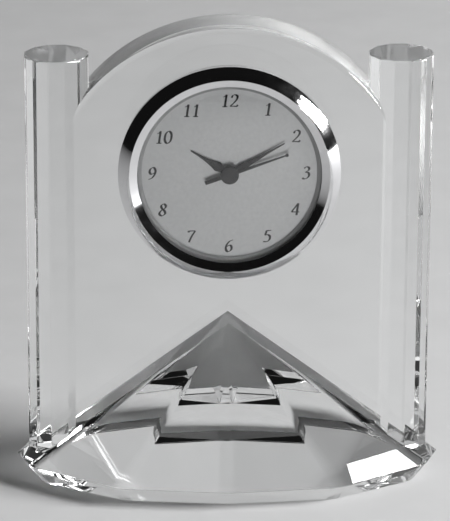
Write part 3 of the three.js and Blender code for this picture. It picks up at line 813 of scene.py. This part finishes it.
# Case, grip band, rear cover and setting knob, in millimetres as the bezel is
housing = {
    "rimInner": 30.1,
    "rimRadius": 31.2,
    "rimDepth": 0.3,
    "rimTaper": 0.6,
    "bodyRadius": 29.7,
    "caseFront": -0.3,
    "caseInner": 28.7,
    "caseDepth": 9.6,
    "caseCorner": 0.15,
    "bandRadius": 31.2,
    "bandStart": 1.4,
    "bandLength": 7.6,
    "bandGroove": 0.5,
    "bandRibs": 3,
    "bandCorner": 0.12,
    "coverFront": 9.9,
    "coverBack": 11.3,
    "coverPanel": 24.5,
    "coverCorner": 0.12,
    "panelStep": 0.25,
    "lipEdge": 8.6,
    "lipRadius": 28.4,
    "lipWall": 1.3,
    "notchRadius": 4.0,
    "notchDepth": 0.8,
    "knobHole": 4.2,
    "holeSteps": 64,
    "toolReach": 1.0,  # how far a cutting tool stands out of what it cuts
    "knobRadius": 3.7,
    "knobRibs": 14,
    "knobRibDepth": 0.35,
    "knobEdge": (0.14, 2),  # width and segments
}
knobLow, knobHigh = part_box("setting_knob")
knobCentre = (knobLow + knobHigh) / 2


def caseProfile(c):
    return [
        (c["rimInner"], c["caseFront"]),
        (c["rimRadius"], c["caseFront"]),
        (c["rimRadius"], c["rimDepth"]),
        (c["bodyRadius"], c["rimDepth"] + c["rimTaper"]),
        (c["bodyRadius"], c["caseDepth"]),
        (c["caseInner"], c["caseDepth"]),
        (c["caseInner"], c["rimDepth"]),
        (c["rimInner"], c["rimDepth"]),
    ]


def bandProfile(c):
    pitch = c["bandLength"] / (2 * c["bandRibs"] - 1)
    inner, low = c["bodyRadius"] + seatGap, c["bandRadius"] - c["bandGroove"]
    outer = []
    for rib in range(c["bandRibs"]):
        front = c["bandStart"] + 2 * rib * pitch
        outer += [(c["bandRadius"], front), (c["bandRadius"], front + pitch)]
        if rib < c["bandRibs"] - 1:
            outer += [(low, front + pitch), (low, front + 2 * pitch)]
    return [*outer, (inner, c["bandStart"] + c["bandLength"]), (inner, c["bandStart"])]


def coverProfile(c):
    lipInner = c["lipRadius"] - c["lipWall"]
    return [
        (0, c["coverFront"]),
        (lipInner, c["coverFront"]),
        (lipInner, c["lipEdge"]),
        (c["lipRadius"], c["lipEdge"]),
        (c["lipRadius"], c["coverFront"]),
        (c["bodyRadius"], c["coverFront"]),
        (c["bodyRadius"], c["coverBack"]),
        (c["coverPanel"] + c["panelStep"], c["coverBack"]),
        (c["coverPanel"], c["coverBack"] - c["panelStep"]),
        (0, c["coverBack"] - c["panelStep"]),
    ]


def drill(x, z, radius, depths, steps):
    # x and z are in metres, as the frame gives them
    middle = Vector((x, slabFront + (depths[0] + depths[1]) / 2 * mm, z))
    return cylinder(middle, radius * mm, (depths[1] - depths[0]) * mm, steps)


def rearCover(c):
    disc = spun(coverProfile(c), corner=c["coverCorner"], onAxis=True)
    above, below = c["coverBack"] + c["toolReach"], c["coverFront"] - c["toolReach"]
    notchTop, notchFloor = dialZ + c["bodyRadius"] * mm, c["coverBack"] - c["notchDepth"]
    hole = drill(knobCentre.x, knobCentre.z, c["knobHole"], (below, above), c["holeSteps"])
    notch = drill(0, notchTop, c["notchRadius"], (notchFloor, above), c["holeSteps"])
    return carve(disc, [(hole, "DIFFERENCE"), (notch, "DIFFERENCE")])


def settingKnob(c):
    bm = bmesh.new()
    groove = c["knobRadius"] - c["knobRibDepth"]
    radii = (c["knobRadius"], c["knobRadius"], groove, groove) * c["knobRibs"]
    rim = []
    for step, radius in enumerate(radii):
        angle = math.tau * step / len(radii)
        x = knobCentre.x + radius * mm * math.cos(angle)
        z = knobCentre.z + radius * mm * math.sin(angle)
        rim.append(bm.verts.new((x, knobLow.y, z)))
    face = bmesh.ops.contextual_create(bm, geom=rim)["faces"]
    thicken(bm, face, (0, knobHigh.y - knobLow.y, 0))
    top = max(bm.faces, key=lambda f: f.calc_center_median().y)
    width, segments = c["knobEdge"]
    bevel(bm, top.edges, width * mm, segments)
    return bm


caseShape = spun(caseProfile(housing), corner=housing["caseCorner"])
addPiece(caseShape, "caseCup", "insert", "brushedSteel", ["case"])
bandShape = spun(bandProfile(housing), corner=housing["bandCorner"])
addPiece(bandShape, "gripBand", "insert", "paleRubber", ["grip_band"])
addPiece(rearCover(housing), "rearCover", "rear_cover", "blackPlastic", ["rear_cover"])
knobShape = settingKnob(housing)
addPiece(knobShape, "settingKnob", "setting_train", "blackPlastic", ["setting_knob"])
print("housing made")


# Movement: the solids keep their own shapes and get a finish each
movement = {
    "palePlastic": ["dial_spacer", "main_plate"],
    "blackPlastic": ["train_bridge", "ic_chip"],
    "wheelPlastic": [
        "fifth_wheel", "second_wheel", "third_wheel", "centre_wheel", "hour_wheel", "minute_wheel",
    ],
    "magnetPlastic": ["rotor"],
    "brightSteel": ["bridge_screw_1", "bridge_screw_2", "bridge_screw_3", "stator", "coil_core"],
    "enamelWire": ["coil_winding"],
    "solderMask": ["circuit_board"],
    "nickelPlate": ["quartz_can", "battery"],
    "turnedBrass": ["cannon_pinion", "battery_spring", "battery_clip"],
}
for finish, names in movement.items():
    for name in names:
        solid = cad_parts[name]
        solid.data.materials.clear()
        solid.data.materials.append(finishes[finish])
print("movement dressed")


# Floor and backdrop in one pale sweep, in metres
studio = {
    "floorWidth": 6.0,
    "floorFront": -3.0,
    "floorDrop": 0.0001,
    "wallY": 2.25,
    "wallHeight": 1.5,
    "bend": 0.5,
    "bendSteps": 12,
    "floorTones": ((0.60, 0.602, 0.605), (0.63, 0.632, 0.635)),
    # painted light: the wall is coloured lighter than the floor to make up for its distance from the lamps
    "wallPaintedLightTones": ((0.78, 0.782, 0.785), (0.81, 0.812, 0.815)),
    "rough": (0.55, 0.65),
    "grainScale": 40,
}


def paleSweep(c):
    # The tone rises with the bend, from the floor's to the wall's; the wall's lighter tone is painted
    # light, standing in for the light it loses far back from the window
    material, shader = startMaterial("paleSweep", Specular_IOR_Level=0.0)
    nodes, links = material.node_tree.nodes, material.node_tree.links
    noise = grainNode(material, c["grainScale"])
    place = nodes.new("ShaderNodeTexCoord")
    parts = nodes.new("ShaderNodeSeparateXYZ")
    rise = nodes.new("ShaderNodeMapRange")
    rise.inputs["From Max"].default_value = c["bend"]
    blend = nodes.new("ShaderNodeMix")
    blend.data_type = "RGBA"
    links.new(place.outputs["Object"], parts.inputs["Vector"])
    links.new(parts.outputs["Z"], rise.inputs["Value"])
    links.new(rise.outputs["Result"], blend.inputs["Factor"])
    links.new(colourRange(material, noise, *c["floorTones"]), blend.inputs["A"])
    links.new(colourRange(material, noise, *c["wallPaintedLightTones"]), blend.inputs["B"])
    links.new(blend.outputs["Result"], shader.inputs["Base Color"])
    links.new(valueRange(material, noise, *c["rough"]), shader.inputs["Roughness"])
    return material


def studioSweep(c):
    bm = bmesh.new()
    side = [(c["floorFront"], 0), (c["wallY"], 0), (c["wallY"], c["wallHeight"])]
    corners = [bm.verts.new((-c["floorWidth"] / 2, y, z - c["floorDrop"])) for y, z in side]
    for pair in zip(corners, corners[1:]):
        bm.edges.new(pair)
    bevel(bm, [corners[1]], c["bend"], c["bendSteps"], affect="VERTICES")
    made = bmesh.ops.extrude_edge_only(bm, edges=bm.edges[:])
    bmesh.ops.translate(bm, verts=movedVerts(made), vec=(c["floorWidth"], 0, 0))
    bmesh.ops.recalc_face_normals(bm, faces=bm.faces)
    return bm


sweep = meshObject(studioSweep(studio), "sweep")
sweep.data.materials.append(paleSweep(studio))
for face in sweep.data.polygons:
    face.use_smooth = True


# Light: a window to the right and a small card above it, both facing the base's right facet, a wash on
# the wall and a dark room, in metres, watts and degrees. Angles are seen from what the light faces:
# azimuth from +X towards +Y, and height up
rightFacet = (0.04, -0.022, 0.012)
wallSpot = (2.0, studio["wallY"], 0.6)
lights = {
    "window": {
        "faces": rightFacet, "distance": 2.0, "azimuth": -14, "height": 24.5, "roll": 0,
        "size": (0.85, 0.743), "power": 88.0,
    },
    "card": {
        "faces": rightFacet, "distance": 2.0, "azimuth": -7.7, "height": 35.7, "roll": -33,
        "size": (0.286, 0.1), "power": 2.2,
    },
    "wash": {
        "faces": wallSpot, "distance": 1.4, "azimuth": -80, "height": 10, "roll": 0,
        "size": (1.0, 0.8), "power": 4.5,
    },
}
roomLight = 0.006


def areaLight(name, c):
    azimuth, height, roll = (math.radians(c[k]) for k in ("azimuth", "height", "roll"))
    lamp = bpy.data.lights.new(name, "AREA")
    lamp.shape = "RECTANGLE"
    lamp.size, lamp.size_y = c["size"]
    lamp.energy = c["power"]
    across = math.cos(height)
    away = Vector((across * math.cos(azimuth), across * math.sin(azimuth), math.sin(height)))
    turn = (-away).to_track_quat("-Z", "Y").to_matrix() @ Matrix.Rotation(roll, 3, "Z")
    holder = newObject(name, lamp)
    holder.location = Vector(c["faces"]) + away * c["distance"]
    holder.rotation_euler = turn.to_euler()


for name, settings in lights.items():
    areaLight(name, settings)
world = bpy.data.worlds.new("room")
bpy.context.scene.world = world
world.use_nodes = True
world.node_tree.nodes["Background"].inputs["Color"].default_value = (1, 1, 1, 1)
world.node_tree.nodes["Background"].inputs["Strength"].default_value = roomLight


# Camera, fitted to the columns, the arch, the bezel and the base, in millimetres and degrees
view = {
    "lookAt": (-0.997, 0, 72.32),
    "azimuth": -1.634,
    "pitch": 19.606,
    "roll": 0.26,
    "distance": 1228.9,
    "nearest": 50,
    "focalPixels": 3852.9,
    "imageHeight": 521,
}
bounces = {"all": 24, "transmission": 20, "glossy": 16}  # light crosses many faces of the crystal


def photoCamera(c):
    azimuth, pitch, roll = (math.radians(c[k]) for k in ("azimuth", "pitch", "roll"))
    level = math.cos(pitch)
    back = Vector((math.sin(azimuth) * level, -math.cos(azimuth) * level, math.sin(pitch)))
    right = Vector((math.cos(azimuth), math.sin(azimuth), 0))
    up = back.cross(right)
    tilted = right * math.cos(roll) + up * math.sin(roll)
    upright = up * math.cos(roll) - right * math.sin(roll)
    camera = newObject("camera", bpy.data.cameras.new("camera"))
    camera.data.lens = c["focalPixels"] * camera.data.sensor_width / c["imageHeight"]
    camera.data.clip_start = c["nearest"] * mm
    turn = Matrix((tilted, upright, back)).transposed().to_4x4()
    camera.matrix_world = Matrix.Translation((Vector(c["lookAt"]) + back * c["distance"]) * mm) @ turn
    return camera


scene = bpy.context.scene
scene.camera = photoCamera(view)
scene.view_settings.view_transform = "Standard"
scene.cycles.max_bounces = bounces["all"]
scene.cycles.transmission_bounces = bounces["transmission"]
scene.cycles.glossy_bounces = bounces["glossy"]
print("stage set")
